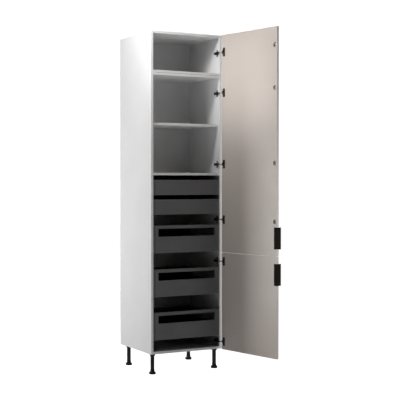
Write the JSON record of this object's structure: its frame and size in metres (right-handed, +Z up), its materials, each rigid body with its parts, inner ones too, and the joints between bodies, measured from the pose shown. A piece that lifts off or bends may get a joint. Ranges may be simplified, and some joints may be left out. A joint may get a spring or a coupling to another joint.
{
  "type": "pantry cabinet",
  "caption": "Tall kitchen pantry cabinet on legs, with fixed and adjustable shelves above inner pull-out drawers, behind two doors hinged on the right.",
  "frame": {"origin": "on the floor under the middle of the box around the cabinet with its doors open", "axes": "+Z up, +Y towards the wall behind the cabinet, +X to the right seen from the front"},
  "size_m": [0.7434, 1.1806, 2.555],
  "materials": {
    "white_melamine": "white melamine-faced board with a very fine matt texture",
    "back_board": "white-faced thin fibreboard",
    "taupe_front": "warm grey-beige matt lacquer, silky, very fine orange peel",
    "drawer_front": "anthracite matt powder coat look",
    "drawer_board": "dark grey foil",
    "drawer_steel": "anthracite powder-coated sheet steel",
    "zinc_steel": "bright zinc-plated steel",
    "hinge_dark": "dark nickel-plated hinge steel",
    "black_plastic": "black moulded plastic",
    "black_aluminium": "black anodised and brushed aluminium strip",
    "screw_black": "black oxide screw"
  },
  "bodies": {
    "carcass": {"side_panel_left": "white_melamine", "side_panel_right": "white_melamine", "top_panel": "white_melamine", "bottom_panel": "white_melamine", "back_panel": "back_board", "twin_board_lower": "white_melamine", "twin_board_upper": "white_melamine", "middle_deck": "white_melamine", "adjustable_shelf": "white_melamine", "shelf_pins": "zinc_steel", "leg_sockets": "black_plastic", "leg_tubes": "black_plastic", "hinge_plates": "hinge_dark", "hinge_arms": "hinge_dark", "hinge_plate_screws": "zinc_steel", "runner_rails": "zinc_steel"},
    "upper_hinge_carriage": {"upper_hinge_links": "hinge_dark"},
    "upper_door": {"upper_door_panel": "taupe_front", "upper_handle": "black_aluminium", "upper_handle_screws": "screw_black", "upper_hinge_cups": "hinge_dark", "upper_hinge_pins": "zinc_steel"},
    "lower_hinge_carriage": {"lower_hinge_links": "hinge_dark"},
    "lower_door": {"lower_door_panel": "taupe_front", "lower_handle": "black_aluminium", "lower_handle_screws": "screw_black", "lower_hinge_cups": "hinge_dark", "lower_hinge_pins": "zinc_steel"},
    "levelling_foot_front_left": {"foot_front_left": "black_plastic"},
    "levelling_foot_front_right": {"foot_front_right": "black_plastic"},
    "levelling_foot_rear_left": {"foot_rear_left": "black_plastic"},
    "levelling_foot_rear_right": {"foot_rear_right": "black_plastic"},
    "drawer_1": {"drawer_1_front": "drawer_front", "drawer_1_base": "drawer_board", "drawer_1_sides": "drawer_steel", "drawer_1_back": "drawer_board"},
    "drawer_1_runner_middles": {"drawer_1_slides": "zinc_steel"},
    "drawer_2": {"drawer_2_front": "drawer_front", "drawer_2_base": "drawer_board", "drawer_2_sides": "drawer_steel", "drawer_2_back": "drawer_board"},
    "drawer_2_runner_middles": {"drawer_2_slides": "zinc_steel"},
    "drawer_3": {"drawer_3_front": "drawer_front", "drawer_3_base": "drawer_board", "drawer_3_sides": "drawer_steel", "drawer_3_back": "drawer_board", "drawer_3_gallery": "drawer_steel"},
    "drawer_3_runner_middles": {"drawer_3_slides": "zinc_steel"},
    "drawer_4": {"drawer_4_front": "drawer_front", "drawer_4_base": "drawer_board", "drawer_4_sides": "drawer_steel", "drawer_4_back": "drawer_board", "drawer_4_gallery": "drawer_steel"},
    "drawer_4_runner_middles": {"drawer_4_slides": "zinc_steel"},
    "drawer_5": {"drawer_5_front": "drawer_front", "drawer_5_base": "drawer_board", "drawer_5_sides": "drawer_steel", "drawer_5_back": "drawer_board", "drawer_5_gallery": "drawer_steel"},
    "drawer_5_runner_middles": {"drawer_5_slides": "zinc_steel"}
  },
  "joints": [
    {"name": "upper_hinge_travel", "type": "slide", "parent": "carcass", "child": "upper_hinge_carriage", "axis": [0, -1, 0], "range_m": [-0.0301, 0.002]},
    {"name": "upper_door_swing", "type": "hinge", "parent": "upper_hinge_carriage", "child": "upper_door", "pos_m": [0.21826, -0.01116, 1.726], "axis": [0, 0, 1], "range_deg": [-102, 5]},
    {"name": "lower_hinge_travel", "type": "slide", "parent": "carcass", "child": "lower_hinge_carriage", "axis": [0, -1, 0], "range_m": [-0.0301, 0.002]},
    {"name": "lower_door_swing", "type": "hinge", "parent": "lower_hinge_carriage", "child": "lower_door", "pos_m": [0.21826, -0.01116, 0.526], "axis": [0, 0, 1], "range_deg": [-102, 5]},
    {"name": "drawer_1_pull", "type": "slide", "parent": "carcass", "child": "drawer_1", "axis": [0, -1, 0], "range_m": [0, 0.43]},
    {"name": "drawer_1_runner_travel", "type": "slide", "parent": "carcass", "child": "drawer_1_runner_middles", "axis": [0, -1, 0], "range_m": [0, 0.215]},
    {"name": "drawer_2_pull", "type": "slide", "parent": "carcass", "child": "drawer_2", "axis": [0, -1, 0], "range_m": [0, 0.43]},
    {"name": "drawer_2_runner_travel", "type": "slide", "parent": "carcass", "child": "drawer_2_runner_middles", "axis": [0, -1, 0], "range_m": [0, 0.215]},
    {"name": "drawer_3_pull", "type": "slide", "parent": "carcass", "child": "drawer_3", "axis": [0, -1, 0], "range_m": [0, 0.43]},
    {"name": "drawer_3_runner_travel", "type": "slide", "parent": "carcass", "child": "drawer_3_runner_middles", "axis": [0, -1, 0], "range_m": [0, 0.215]},
    {"name": "drawer_4_pull", "type": "slide", "parent": "carcass", "child": "drawer_4", "axis": [0, -1, 0], "range_m": [0, 0.43]},
    {"name": "drawer_4_runner_travel", "type": "slide", "parent": "carcass", "child": "drawer_4_runner_middles", "axis": [0, -1, 0], "range_m": [0, 0.215]},
    {"name": "drawer_5_pull", "type": "slide", "parent": "carcass", "child": "drawer_5", "axis": [0, -1, 0], "range_m": [0, 0.43]},
    {"name": "drawer_5_runner_travel", "type": "slide", "parent": "carcass", "child": "drawer_5_runner_middles", "axis": [0, -1, 0], "range_m": [0, 0.215]},
    {"name": "foot_front_left_height", "type": "slide", "parent": "carcass", "child": "levelling_foot_front_left", "axis": [0, 0, -1], "range_m": [-0.01, 0.02]},
    {"name": "foot_front_right_height", "type": "slide", "parent": "carcass", "child": "levelling_foot_front_right", "axis": [0, 0, -1], "range_m": [-0.01, 0.02]},
    {"name": "foot_rear_left_height", "type": "slide", "parent": "carcass", "child": "levelling_foot_rear_left", "axis": [0, 0, -1], "range_m": [-0.01, 0.02]},
    {"name": "foot_rear_right_height", "type": "slide", "parent": "carcass", "child": "levelling_foot_rear_right", "axis": [0, 0, -1], "range_m": [-0.01, 0.02]}
  ],
  "couplings": [
    {"joint": "upper_hinge_travel", "follows": "upper_door_swing", "m_per_rad": 0.016852},
    {"joint": "lower_hinge_travel", "follows": "lower_door_swing", "m_per_rad": 0.016852},
    {"joint": "drawer_1_runner_travel", "follows": "drawer_1_pull", "ratio": 0.5},
    {"joint": "drawer_2_runner_travel", "follows": "drawer_2_pull", "ratio": 0.5},
    {"joint": "drawer_3_runner_travel", "follows": "drawer_3_pull", "ratio": 0.5},
    {"joint": "drawer_4_runner_travel", "follows": "drawer_4_pull", "ratio": 0.5},
    {"joint": "drawer_5_runner_travel", "follows": "drawer_5_pull", "ratio": 0.5}
  ]
}
